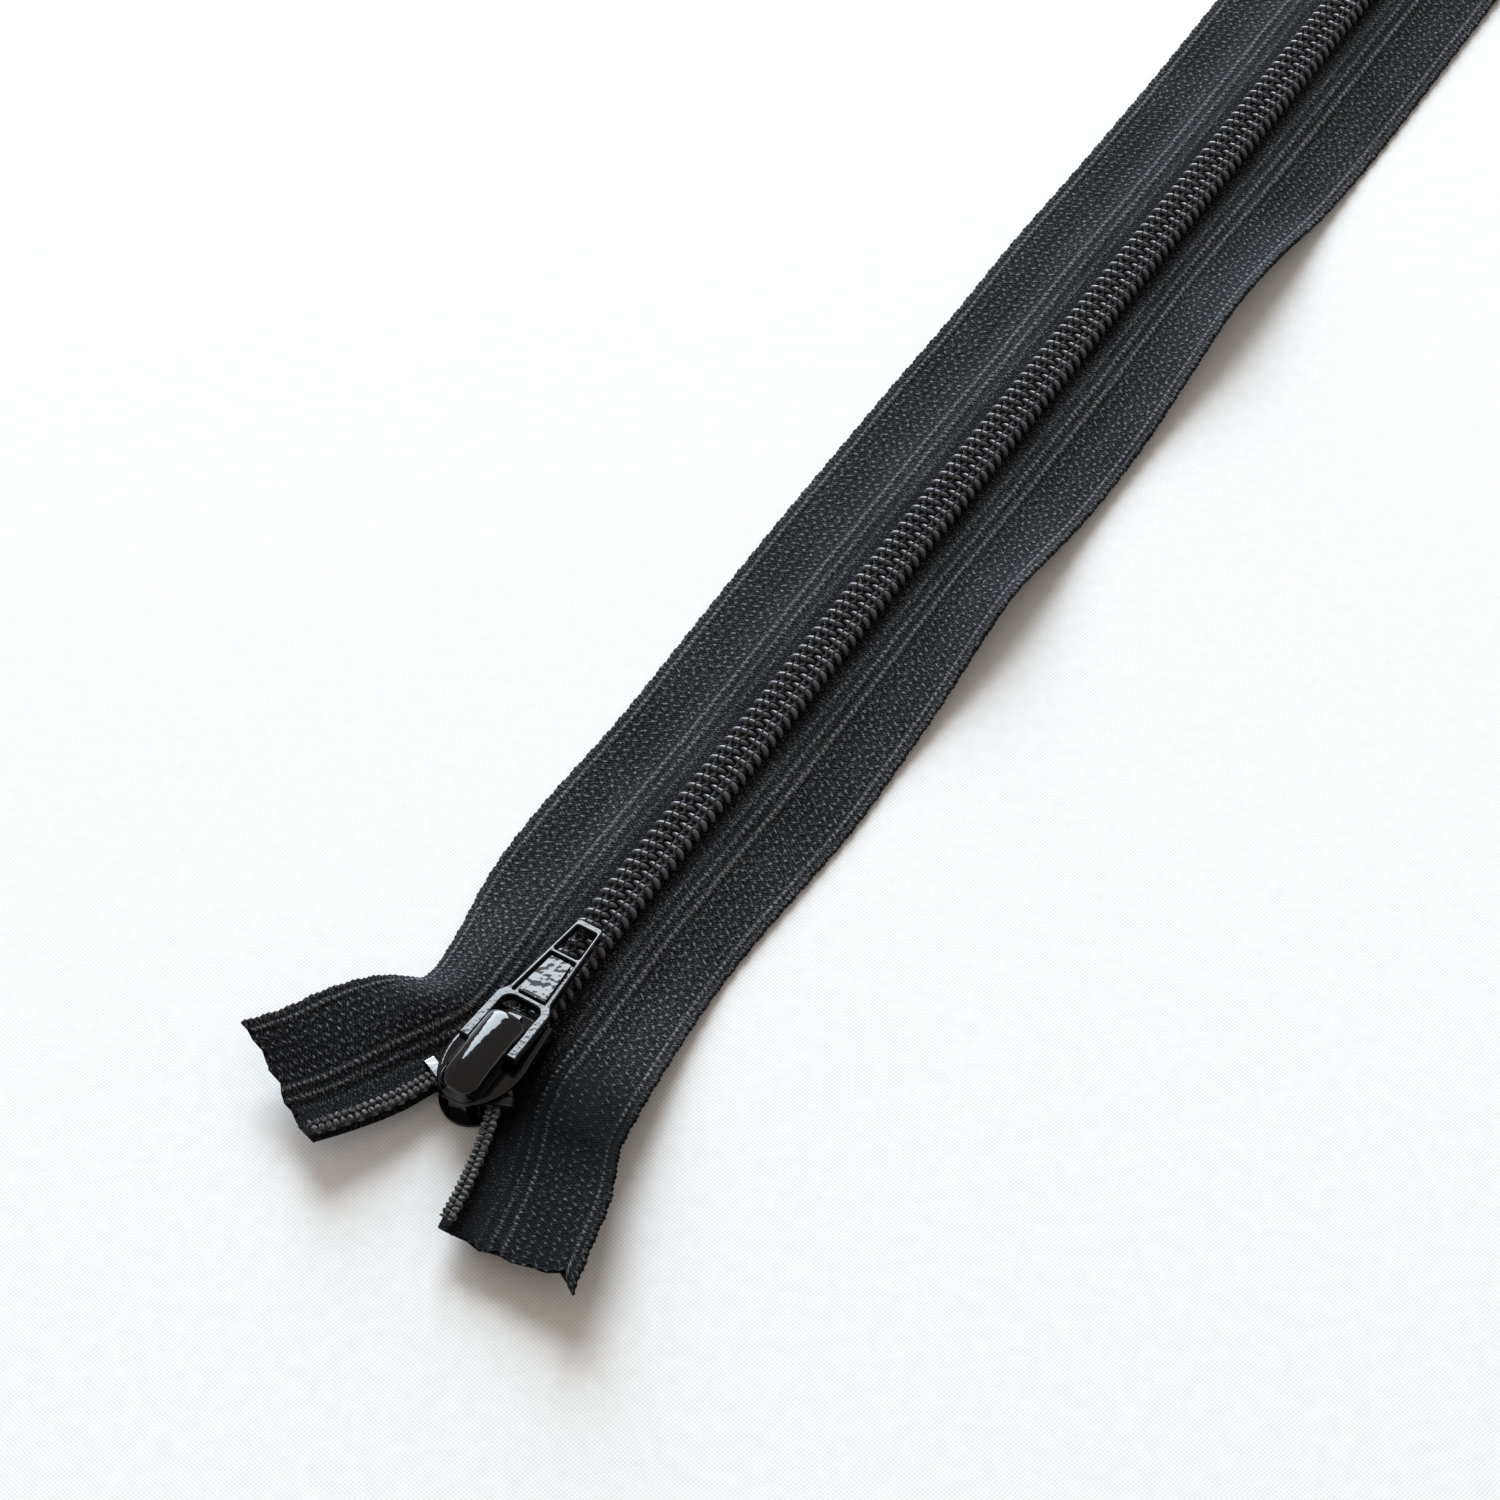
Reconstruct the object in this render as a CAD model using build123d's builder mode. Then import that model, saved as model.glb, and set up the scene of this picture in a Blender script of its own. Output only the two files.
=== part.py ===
from build123d import *
from math import cos, degrees, radians, sin
import os

# A closed-end nylon coil zipper of the dress weight, closed, with its slider at the top stops.
# +Y runs along the chain from the slider to the bottom stop, +X is across, +Z is up off the table.
# The origin is the centre of the outline, on the table. All lengths are in millimetres.

# Tapes
TAPE_WIDTH = 12.3
TAPE_THICK = 0.45
RIBBED_WIDTH = 6.1
SEWN_STRIP_STEP = 0.03
TAPE_GAP = 0.3
TAIL_Y = 116.0
SPLIT_Y = -97.3
SPLAY = radians(24)
SPLAY_RADIUS = 13.5
FLAP_LENGTH = 14.4

# Coils, measured outwards from the tape's inner edge
PITCH = 1.27
COIL_BACK = 2.05
COIL_HEIGHT = 1.4
COIL_WALL = 0.32
WIRE_WIDTH = 0.45
HEAD_REACH = 0.45
HEAD_ROOT = 0.2
TEETH = 164
FIRST_TOOTH_GAP = 0.6
FLAP_TEETH = 13
FLAP_TOOTH_START = 0.3
FLAP_PITCH = 0.86 * PITCH
CORE_SLACK = 0.05

# Sewing threads, measured outwards from the tape's inner edge
THREAD_INNER = 0.75
THREAD_OUTER = 1.45
THREAD_WIDTH = 0.28
THREAD_THICK = 0.12
LOOPER_WIDTH = 1.1

# Slider
PLATE_THICK = 0.75
TAPE_CLEARANCE = 0.1
SLIDER_REAR_Y = -95.9
SHOULDER_Y = -101.6
NOSE_Y = -106.7
REAR_HALF = 3.05
SHOULDER_HALF = 3.65
TOP_UNDERSIDE = 2.95
TOP_PLATE_THICK = 0.65
FLANGE_BOTTOM = 1.45
FLANGE_THICK = 0.5
FLANGE_FRONT_Y = -101.4
POST_REAR_Y = -101.9
POST_HALF = 1.2
POST_NOSE_HALF = 0.9
POST_SHOULDER_IN = 1.7
POST_NOSE_IN = 0.7
MOUTH_Y = -102.6
MOUTH_FLARE = 0.3
LUG_HEIGHT = 0.9
LUG_ROUND = 0.2
FRONT_LUG = (1.7, 0.9)
FRONT_LUG_IN = 2.2
REAR_LUG = (1.3, 0.8)
REAR_LUG_SLANT = 0.28
REAR_LUG_OUT = 0.65
RIM = 0.22
TOP_RIM = 0.4

# Crown
CROWN_REAR_Y = -98.05
CROWN_FRONT_Y = -106.3
CROWN_HALF = 1.68
CROWN_REAR_Z = 5.45
CROWN_TOP_Z = 5.85
CROWN_WALL = 0.38
CROWN_ROOF = 0.3
CROWN_LIP = 0.35
CROWN_SIDE_ROUND = 1.15
BROW_IN = 1.9
BROW_DROP = 0.28
NOSE_HOLLOW_IN = 1.2
SEAT_GAP = 0.02

# Pull tab, measured along the tab from its pivot
PIVOT_Y = -100.6
PIVOT_Z = 4.55
PIVOT_RADIUS = 0.4
PIVOT_CLEARANCE = 0.15
TAB_THICK = 0.95
TAB_TILT = 4.3
TAB_END = 15.4
TAB_EYE_END = 14.75
TAB_EYE_START = 11.35
TAB_PANEL_END = 11.0
TAB_PANEL_START = 5.6
TAB_SHOULDER = 4.9
TAB_WAIST = 5.95
TAB_LOOP_END = 5.15
TAB_HEEL = -0.75
TAB_HALVES = {"tip": 1.25, "waist": 2.05, "shoulder": 2.65, "heel": 2.82}
LOOP_HALF = 1.9
LOOP_ROUND = 0.95
SHOULDER_ROUND = 0.7
TIP_ROUND = 0.35
EYE_ROUND = 0.25
PANEL_ROUND = 0.2
PLAQUE_ROUND = 0.15
TAB_RIM = 0.13
PANEL_RIM = 0.1
BAR_OVERLAP = 0.3
TAB_FRAME = 0.3
PANEL_DEPTH = 0.42
PLAQUE_HEIGHT = 0.34
PLAQUE_MARGIN = 0.36

# Lock spring
SPRING_WIDTH = 0.9
SPRING_THICK = 0.15
SPRING_ROOF_Z = 5.0
PAWL_Y = -99.05
PAWL_TIP_Z = 2.78
PAWL_SHOULDER_Z = 4.4
SPRING_BEND_Y = -100.2
SPRING_BEND = 0.35
SPRING_FOOT_Z = 4.2
SPRING_FRONT_Y = -103.3
PAWL_HOLE = (1.3, 0.55)

# Stops
STOP_WALL = 0.38
STOP_CLEARANCE = 0.12
PRONG_GAP = 0.6
SLOT = 0.1
TOP_STOP_WALL = 0.22
TOP_STOP_CLEARANCE = 0.06
BOTTOM_STOP_Y = 97.3
BOTTOM_STOP_LENGTH = 3.0
TOP_STOP_LENGTH = 0.9
TOP_STOP_ALONG = 2.2
FOOT_Z = 0.3

# Levels that follow from the sizes above
TAPE_BOTTOM = PLATE_THICK + TAPE_CLEARANCE
TAPE_TOP = TAPE_BOTTOM + TAPE_THICK
COIL_TOP = TAPE_TOP + COIL_HEIGHT
PLATE_TOP = TOP_UNDERSIDE + TOP_PLATE_THICK
EDGE_X = TAPE_GAP / 2
HALF_THREAD = THREAD_WIDTH / 2
SIDES = ((-1, "left"), (1, "right"))

os.makedirs("parts", exist_ok=True)


def save(piece, name):
    """Labels a finished piece and writes it to its own STEP file."""
    piece.part.label = name
    export_step(piece.part, f"parts/{name}.step")


def bend_point(side, offset, turn):
    """The point of the tape's bend at an offset from its inner edge, after a turn in radians."""
    radius = SPLAY_RADIUS - offset
    x = EDGE_X + SPLAY_RADIUS - radius * cos(turn)
    return (side * x, SPLIT_Y - radius * sin(turn))


def flap_point(side, offset, along):
    """A point of the splayed flap, at a length along it from the end of the bend."""
    x, y = bend_point(side, offset, SPLAY)
    return (x + side * along * sin(SPLAY), y - along * cos(SPLAY))


def band(side, near, far, tail_y=TAIL_Y, flap=FLAP_LENGTH):
    """Plan of a strip of one tape: straight along the chain, then bent outwards along its flap."""
    with BuildSketch() as plan:
        with BuildLine():
            Line((side * (EDGE_X + near), tail_y), bend_point(side, near, 0))
            ThreePointArc(*(bend_point(side, near, SPLAY * part) for part in (0, 0.5, 1)))
            Polyline(
                bend_point(side, near, SPLAY),
                flap_point(side, near, flap),
                flap_point(side, far, flap),
                bend_point(side, far, SPLAY),
            )
            ThreePointArc(*(bend_point(side, far, SPLAY * part) for part in (1, 0.5, 0)))
            Polyline(
                bend_point(side, far, 0),
                (side * (EDGE_X + far), tail_y),
                (side * (EDGE_X + near), tail_y),
            )
        make_face()
    return plan.sketch


def flap_plane(side, along, z):
    """Upright plane across the flap, with its X pointing away from the tape's inner edge."""
    x, y = flap_point(side, 0, along)
    across = Vector(side * cos(SPLAY), sin(SPLAY), 0)
    return Plane(origin=(x, y, z), x_dir=across, z_dir=across.cross(Vector(0, 0, 1)))


def slider_outline(grow=0.0):
    """Plan of a slider plate: a tapered body with an elliptical nose."""
    with BuildSketch() as plan:
        with Locations((0, SHOULDER_Y)):
            Ellipse(SHOULDER_HALF + grow, SHOULDER_Y - NOSE_Y + grow)
        with BuildLine():
            Polyline(
                (-SHOULDER_HALF - grow, SHOULDER_Y),
                (-REAR_HALF - grow, SLIDER_REAR_Y),
                (REAR_HALF + grow, SLIDER_REAR_Y),
                (SHOULDER_HALF + grow, SHOULDER_Y),
                close=True,
            )
        make_face()
    return plan.sketch


# Bottom stop: a folded metal staple round both coils, with its prongs turned in under the tapes.
STOP_INNER_HALF = EDGE_X + COIL_BACK + STOP_CLEARANCE + 0.1
STOP_OUTER_HALF = STOP_INNER_HALF + STOP_WALL
STOP_ROOF = COIL_TOP + THREAD_THICK + STOP_CLEARANCE
with BuildPart() as bottom_stop:
    with BuildSketch(Plane.XZ.offset(-BOTTOM_STOP_Y)):
        with Locations((0, (STOP_ROOF + STOP_WALL + FOOT_Z) / 2)):
            RectangleRounded(2 * STOP_OUTER_HALF, STOP_ROOF + STOP_WALL - FOOT_Z, STOP_WALL)
        with Locations((0, (STOP_ROOF + FOOT_Z + STOP_WALL) / 2)):
            Rectangle(2 * STOP_INNER_HALF, STOP_ROOF - FOOT_Z - STOP_WALL, mode=Mode.SUBTRACT)
        with Locations((0, FOOT_Z + STOP_WALL / 2)):
            Rectangle(PRONG_GAP, 2 * STOP_WALL, mode=Mode.SUBTRACT)
    extrude(amount=BOTTOM_STOP_LENGTH / 2, both=True)
save(bottom_stop, "bottom_stop")

# Each side of the chain: the same pieces, mirrored, with the teeth half a pitch apart.
TOP_STOP_INNER = -HEAD_REACH - TOP_STOP_CLEARANCE
TOP_STOP_OUTER = COIL_BACK + TOP_STOP_CLEARANCE
TOP_STOP_ROOF = COIL_TOP + THREAD_THICK + TOP_STOP_CLEARANCE
TOP_STOP_FLOOR = TAPE_BOTTOM - THREAD_THICK / 2 - 0.02
CORE_NEAR = HEAD_ROOT + COIL_WALL + CORE_SLACK
CORE_FAR = COIL_BACK - COIL_WALL - CORE_SLACK
FIRST_TOOTH_Y = SPLIT_Y + FIRST_TOOTH_GAP
HEAD_CENTRE = (HEAD_ROOT - HEAD_REACH) / 2
HEAD_LENGTH = HEAD_ROOT + HEAD_REACH + COIL_WALL
for side, hand in SIDES:
    with BuildPart() as tape:
        with BuildSketch(Plane.XY.offset(TAPE_BOTTOM)):
            add(band(side, 0, TAPE_WIDTH))
            with Locations((side * (STOP_INNER_HALF + STOP_WALL / 2), BOTTOM_STOP_Y)):
                Rectangle(STOP_WALL + 2 * SLOT, BOTTOM_STOP_LENGTH + 2 * SLOT, mode=Mode.SUBTRACT)
        extrude(amount=TAPE_THICK)
        for level in (TAPE_BOTTOM, TAPE_TOP - SEWN_STRIP_STEP):
            with BuildSketch(Plane.XY.offset(level)):
                add(band(side, RIBBED_WIDTH, TAPE_WIDTH))
            extrude(amount=SEWN_STRIP_STEP, mode=Mode.SUBTRACT)
        with BuildSketch(flap_plane(side, TOP_STOP_ALONG, TAPE_BOTTOM + TAPE_THICK / 2)):
            with Locations((TOP_STOP_OUTER + TOP_STOP_WALL / 2, 0)):
                Rectangle(TOP_STOP_WALL + 2 * SLOT, 2 * TAPE_THICK)
        extrude(amount=TOP_STOP_LENGTH / 2 + SLOT, both=True, mode=Mode.SUBTRACT)
    save(tape, f"tape_{hand}")

    with BuildPart() as coil:
        with BuildSketch(Plane.XY.offset(TAPE_TOP)):
            add(band(side, HEAD_ROOT, COIL_BACK))
        extrude(amount=COIL_HEIGHT)
        with BuildSketch(Plane.XY.offset(TAPE_TOP + COIL_WALL)):
            add(band(side, HEAD_ROOT + COIL_WALL, COIL_BACK - COIL_WALL))
        extrude(amount=COIL_HEIGHT - 2 * COIL_WALL, mode=Mode.SUBTRACT)
        stagger = PITCH / 2 if side > 0 else 0
        chain_centre_y = FIRST_TOOTH_Y + stagger + (TEETH - 1) * PITCH / 2
        head_x = side * (EDGE_X + HEAD_CENTRE + COIL_WALL / 2)
        with BuildSketch(Plane.XY.offset(TAPE_TOP)):
            with Locations((head_x, chain_centre_y)):
                with GridLocations(PITCH, PITCH, 1, TEETH):
                    Rectangle(HEAD_LENGTH, WIRE_WIDTH)
            for tooth in range(FLAP_TEETH):
                along = FLAP_TOOTH_START + tooth * FLAP_PITCH
                x, y = flap_point(side, HEAD_CENTRE + COIL_WALL / 2, along)
                with Locations(Location((x, y, 0), (0, 0, side * degrees(SPLAY)))):
                    Rectangle(HEAD_LENGTH, WIRE_WIDTH)
        extrude(amount=COIL_HEIGHT)
    save(coil, f"coil_{hand}")

    with BuildPart() as core_cord:
        with BuildSketch(Plane.XY.offset(TAPE_TOP + COIL_WALL + CORE_SLACK)):
            add(band(side, CORE_NEAR, CORE_FAR))
        extrude(amount=COIL_HEIGHT - 2 * (COIL_WALL + CORE_SLACK))
    save(core_cord, f"core_cord_{hand}")

    for row, middle in (("inner", THREAD_INNER), ("outer", THREAD_OUTER)):
        with BuildPart() as needle_thread:
            with BuildSketch(Plane.XY.offset(COIL_TOP)):
                add(band(side, middle - HALF_THREAD, middle + HALF_THREAD))
            extrude(amount=THREAD_THICK)
        save(needle_thread, f"needle_thread_{row}_{hand}")

    with BuildPart() as looper_thread:
        with BuildSketch(Plane.XY.offset(TAPE_BOTTOM - THREAD_THICK / 2)):
            add(band(side, THREAD_INNER - HALF_THREAD, THREAD_INNER - HALF_THREAD + LOOPER_WIDTH))
        extrude(amount=THREAD_THICK / 2)
    save(looper_thread, f"looper_thread_{hand}")

    with BuildPart() as top_stop:
        stop_middle = (TOP_STOP_INNER + TOP_STOP_OUTER) / 2
        stop_span = TOP_STOP_OUTER - TOP_STOP_INNER
        level = (TOP_STOP_ROOF + TOP_STOP_FLOOR) / 2
        height = TOP_STOP_ROOF - TOP_STOP_FLOOR
        with BuildSketch(flap_plane(side, TOP_STOP_ALONG, level)):
            with Locations((stop_middle, 0)):
                RectangleRounded(
                    stop_span + 2 * TOP_STOP_WALL, height + 2 * TOP_STOP_WALL, TOP_STOP_WALL
                )
                Rectangle(stop_span, height, mode=Mode.SUBTRACT)
            with Locations((stop_middle, -height / 2 - TOP_STOP_WALL / 2)):
                Rectangle(PRONG_GAP, 2 * TOP_STOP_WALL, mode=Mode.SUBTRACT)
        extrude(amount=TOP_STOP_LENGTH / 2, both=True)
    save(top_stop, f"top_stop_{hand}")

# Slider body: two plates joined by the dividing post, with a flange down each side.
with BuildPart() as slider_body:
    with BuildSketch(Plane.XY):
        add(slider_outline())
    extrude(amount=PLATE_THICK)
    fillet(slider_body.faces().sort_by(Axis.Z)[0].edges(), RIM)
    with BuildSketch(Plane.XY.offset(TOP_UNDERSIDE)):
        add(slider_outline())
    extrude(amount=TOP_PLATE_THICK)
    fillet(slider_body.faces().sort_by(Axis.Z)[-1].edges(), TOP_RIM)
    with BuildSketch(Plane.XY.offset(FLANGE_BOTTOM)):
        for side, _ in SIDES:
            with BuildLine():
                Polyline(
                    (side * REAR_HALF, SLIDER_REAR_Y),
                    (side * (REAR_HALF - FLANGE_THICK), SLIDER_REAR_Y),
                    (side * (SHOULDER_HALF - FLANGE_THICK), FLANGE_FRONT_Y),
                    (side * SHOULDER_HALF, FLANGE_FRONT_Y),
                    close=True,
                )
            make_face()
    extrude(amount=TOP_UNDERSIDE - FLANGE_BOTTOM + RIM)
    with BuildSketch(Plane.XY.offset(PLATE_THICK - MOUTH_FLARE)):
        with Locations((0, NOSE_Y)):
            Rectangle(3 * SHOULDER_HALF, 2 * (MOUTH_Y - NOSE_Y))
    extrude(amount=TOP_UNDERSIDE - PLATE_THICK + 2 * MOUTH_FLARE, mode=Mode.SUBTRACT)
    with BuildSketch(Plane.XY.offset(PLATE_THICK / 4)):
        with BuildLine():
            Polyline(
                (0, POST_REAR_Y),
                (-POST_HALF, NOSE_Y + POST_SHOULDER_IN),
                (-POST_NOSE_HALF, NOSE_Y + POST_NOSE_IN),
                (POST_NOSE_HALF, NOSE_Y + POST_NOSE_IN),
                (POST_HALF, NOSE_Y + POST_SHOULDER_IN),
                close=True,
            )
        make_face()
    extrude(amount=PLATE_TOP - PLATE_THICK / 2)
    with BuildSketch(Plane.XY.offset(PLATE_TOP - RIM)):
        with Locations((0, CROWN_FRONT_Y + FRONT_LUG_IN)):
            RectangleRounded(*FRONT_LUG, LUG_ROUND)
    extrude(amount=LUG_HEIGHT + RIM)
    with BuildSketch(Plane.XZ.offset(-CROWN_REAR_Y - REAR_LUG_OUT)):
        with BuildLine():
            Polyline(
                (-REAR_LUG[0] / 2, PLATE_TOP - RIM),
                (-REAR_LUG[0] / 2, PLATE_TOP + LUG_HEIGHT - REAR_LUG_SLANT / 2),
                (REAR_LUG[0] / 2, PLATE_TOP + LUG_HEIGHT + REAR_LUG_SLANT / 2),
                (REAR_LUG[0] / 2, PLATE_TOP - RIM),
                close=True,
            )
        make_face()
    extrude(amount=REAR_LUG[1] / 2, both=True)
    with Locations((0, PAWL_Y, PLATE_TOP)):
        Box(*PAWL_HOLE, 3 * TOP_PLATE_THICK, mode=Mode.SUBTRACT)
save(slider_body, "slider_body")

# Crown: a bullet-shaped cap over the pull's bar and the lock spring, open below.
CROWN_BASE = PLATE_TOP + SEAT_GAP
CROWN_MID_Y = (CROWN_REAR_Y + CROWN_FRONT_Y) / 2
BROW_Y = CROWN_FRONT_Y + BROW_IN
BROW_Z = CROWN_TOP_Z - BROW_DROP
HOLLOW_REAR_Y = CROWN_REAR_Y - CROWN_WALL
HOLLOW_FRONT_Y = CROWN_FRONT_Y + NOSE_HOLLOW_IN
with BuildPart() as slider_crown:
    with BuildSketch(Plane.YZ):
        with BuildLine():
            Line((CROWN_REAR_Y, CROWN_BASE), (CROWN_REAR_Y, CROWN_REAR_Z))
            brow = ThreePointArc(
                (CROWN_REAR_Y, CROWN_REAR_Z), (CROWN_MID_Y, CROWN_TOP_Z), (BROW_Y, BROW_Z)
            )
            TangentArc((BROW_Y, BROW_Z), (CROWN_FRONT_Y, CROWN_BASE + CROWN_LIP), tangent=brow % 1)
            Polyline(
                (CROWN_FRONT_Y, CROWN_BASE + CROWN_LIP),
                (CROWN_FRONT_Y, CROWN_BASE),
                (CROWN_REAR_Y, CROWN_BASE),
            )
        make_face()
    extrude(amount=CROWN_HALF, both=True)
    fillet(slider_crown.edges().filter_by(Axis.Z).group_by(Axis.Y)[0], CROWN_SIDE_ROUND)
    with BuildSketch(Plane.YZ):
        with BuildLine():
            ThreePointArc(
                (HOLLOW_REAR_Y, CROWN_REAR_Z - CROWN_ROOF),
                (CROWN_MID_Y, CROWN_TOP_Z - CROWN_ROOF),
                (BROW_Y, BROW_Z - CROWN_WALL),
            )
            Polyline(
                (BROW_Y, BROW_Z - CROWN_WALL),
                (HOLLOW_FRONT_Y, CROWN_BASE + CROWN_LIP),
                (HOLLOW_FRONT_Y, CROWN_BASE),
                (HOLLOW_REAR_Y, CROWN_BASE),
                (HOLLOW_REAR_Y, CROWN_REAR_Z - CROWN_ROOF),
            )
        make_face()
    extrude(amount=CROWN_HALF - CROWN_WALL, both=True, mode=Mode.SUBTRACT)
    with BuildSketch(Plane.YZ):
        with Locations((PIVOT_Y, (CROWN_BASE + PIVOT_Z) / 2)):
            Rectangle(2 * (PIVOT_RADIUS + PIVOT_CLEARANCE), PIVOT_Z - CROWN_BASE)
        with Locations((PIVOT_Y, PIVOT_Z)):
            Circle(PIVOT_RADIUS + PIVOT_CLEARANCE)
    extrude(amount=2 * CROWN_HALF, both=True, mode=Mode.SUBTRACT)
save(slider_crown, "slider_crown")

# Lock spring: a bent strip that arches over the pull's bar and ends in the locking pawl.
with BuildPart() as lock_spring:
    with BuildSketch(Plane.YZ):
        with BuildLine():
            spring_line = FilletPolyline(
                (SPRING_FRONT_Y, SPRING_FOOT_Z),
                (SPRING_FRONT_Y, SPRING_ROOF_Z + SPRING_THICK / 2),
                (SPRING_BEND_Y, SPRING_ROOF_Z + SPRING_THICK / 2),
                (PAWL_Y, PAWL_SHOULDER_Z),
                (PAWL_Y, PAWL_TIP_Z),
                radius=SPRING_BEND,
            )
            offset(spring_line, SPRING_THICK / 2, side=Side.BOTH)
        make_face()
    extrude(amount=SPRING_WIDTH / 2, both=True)
save(lock_spring, "lock_spring")

# Pull tab: a die-cast tab with a loop round the crown, a framed panel and an eye at its end.
tab_plane = Plane(origin=(0, PIVOT_Y, PIVOT_Z)).rotated((-TAB_TILT, 0, 0))
SLOPE = (TAB_HALVES["waist"] - TAB_HALVES["tip"]) / (TAB_END - TAB_WAIST)


def tab_half(along):
    """Half the tab's width at a length along its tapered stem."""
    return TAB_HALVES["waist"] - SLOPE * (along - TAB_WAIST)


def height_in_tab(edge):
    """Height of an edge's middle over the tab's middle plane."""
    return (edge @ 0.5 - tab_plane.origin).dot(tab_plane.z_dir)


def on_a_face(edge):
    """True for an edge that lies on the tab's upper or lower face."""
    return abs(height_in_tab(edge)) > TAB_THICK / 2 - SEAT_GAP


def stem_window(start, end, margin, corner):
    """A tapered window in the tab's stem, a margin inside its sides."""
    with BuildSketch() as window:
        with BuildLine():
            Polyline(
                (-tab_half(start) + margin, start),
                (-tab_half(end) + margin, end),
                (tab_half(end) - margin, end),
                (tab_half(start) - margin, start),
                close=True,
            )
        make_face()
        fillet(window.vertices(), corner)
    return window.sketch


with BuildPart() as pull_tab:
    with BuildSketch(tab_plane.offset(-TAB_THICK / 2)) as tab_outline:
        with BuildLine():
            half_points = (
                (TAB_HALVES["heel"], TAB_HEEL),
                (TAB_HALVES["shoulder"], TAB_SHOULDER),
                (TAB_HALVES["waist"], TAB_WAIST),
                (TAB_HALVES["tip"], TAB_END),
            )
            left_points = [(-x, y) for x, y in reversed(half_points)]
            Polyline(*half_points, *left_points, close=True)
        make_face()
        fillet(tab_outline.vertices().group_by(Axis.Y)[1], SHOULDER_ROUND)
        fillet(tab_outline.vertices().group_by(Axis.Y)[-1], TIP_ROUND)
    extrude(amount=TAB_THICK)
    with BuildSketch(tab_plane.offset(-TAB_THICK)) as loop:
        with Locations((0, (TAB_LOOP_END + 2 * TAB_HEEL) / 2)):
            Rectangle(2 * LOOP_HALF, TAB_LOOP_END - 2 * TAB_HEEL)
        fillet(loop.vertices().group_by(Axis.Y)[-1], LOOP_ROUND)
        add(stem_window(TAB_EYE_START, TAB_EYE_END, TAB_FRAME, EYE_ROUND))
    extrude(amount=2 * TAB_THICK, mode=Mode.SUBTRACT)
    fillet(pull_tab.edges().filter_by(on_a_face), TAB_RIM)
    with BuildSketch(tab_plane.offset(TAB_THICK / 2 - PANEL_DEPTH)):
        add(stem_window(TAB_PANEL_START, TAB_PANEL_END, TAB_FRAME, PANEL_ROUND))
    extrude(amount=PANEL_DEPTH, mode=Mode.SUBTRACT)
    fillet(pull_tab.edges(Select.LAST).filter_by(on_a_face), PANEL_RIM)
    with BuildSketch(tab_plane.offset(TAB_THICK / 2 - PANEL_DEPTH)):
        add(
            stem_window(
                TAB_PANEL_START + PLAQUE_MARGIN,
                TAB_PANEL_END - PLAQUE_MARGIN,
                TAB_FRAME + PLAQUE_MARGIN,
                PLAQUE_ROUND,
            )
        )
    extrude(amount=PLAQUE_HEIGHT)
    with BuildSketch(Plane.YZ):
        with Locations((PIVOT_Y, PIVOT_Z)):
            Circle(PIVOT_RADIUS)
    extrude(amount=LOOP_HALF + BAR_OVERLAP, both=True)
save(pull_tab, "pull_tab")
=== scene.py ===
import math

import bpy
import numpy as np
from mathutils import Matrix, Vector


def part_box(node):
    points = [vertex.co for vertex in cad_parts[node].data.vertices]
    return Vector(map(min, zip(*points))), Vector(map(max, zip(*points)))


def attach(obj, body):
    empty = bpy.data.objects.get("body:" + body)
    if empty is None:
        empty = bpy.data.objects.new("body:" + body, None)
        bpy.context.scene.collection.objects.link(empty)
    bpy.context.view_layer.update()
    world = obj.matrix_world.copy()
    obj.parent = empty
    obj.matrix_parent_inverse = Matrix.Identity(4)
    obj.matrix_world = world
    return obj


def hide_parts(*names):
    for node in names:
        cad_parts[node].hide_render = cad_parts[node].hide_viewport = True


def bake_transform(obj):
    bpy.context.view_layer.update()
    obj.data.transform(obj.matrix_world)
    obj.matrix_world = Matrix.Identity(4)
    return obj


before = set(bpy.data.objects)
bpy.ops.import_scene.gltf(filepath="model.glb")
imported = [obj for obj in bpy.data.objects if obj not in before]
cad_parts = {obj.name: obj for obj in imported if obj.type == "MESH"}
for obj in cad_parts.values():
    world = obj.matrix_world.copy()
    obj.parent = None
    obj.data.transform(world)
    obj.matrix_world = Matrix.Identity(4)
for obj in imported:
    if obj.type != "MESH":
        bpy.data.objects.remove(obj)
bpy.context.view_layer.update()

# The zipper's looks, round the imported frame. Lengths are in millimetres until a mesh is made.
# u runs across a tape from its inner edge and v along it, and y is the chain's own direction.
MM = 0.001

# ---------------------------------------------------------------- sizes
TAPE_WIDTH = 12.3
HALF_THICK = 0.2
EDGE_X = 0.15
PITCH = 1.27
TAIL_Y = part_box("tape_left")[1].y / MM
INNER_Z = (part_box("tape_left")[0].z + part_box("tape_left")[1].z) / 2 / MM
TABLE_Z = 0.32  # a tape's middle surface where it lies on the table
SIDES = ((-1, "left"), (1, "right"))
STEP = PITCH / 6
# The three ribs and two selvedge cords: place across the tape, half width, height, and the
# share of the height that comes and goes in dots.
RIBS = (
    (3.4, 0.24, 0.09, 0.5),
    (4.5, 0.24, 0.15, 0.45),
    (5.6, 0.25, 0.17, 0.4),
    (11.35, 0.2, 0.15, 0.0),
    (12.05, 0.26, 0.13, 0.7),
)
RIB_HIGHEST = 0.17
# The zigzag lines between the ribs and the selvedge.
ZIGZAG_LINES, ZIGZAG_U, ZIGZAG_STEP, ZIGZAG_SWING = 5, 6.55, 0.98, 0.24
ZIGZAG_BAND, ZIGZAG_FADE = (6.0, 10.9), 0.3
ZIGZAG_HALF, ZIGZAG_HEIGHT = 0.2, 0.08
# The coil holds a tape's inner edge, and the rest is free to lift, sag and wave.
FREE_U = 3.3
WAVE_HEIGHT, WAVE_LENGTHS = 0.16, (5.3, 8.9)
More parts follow.
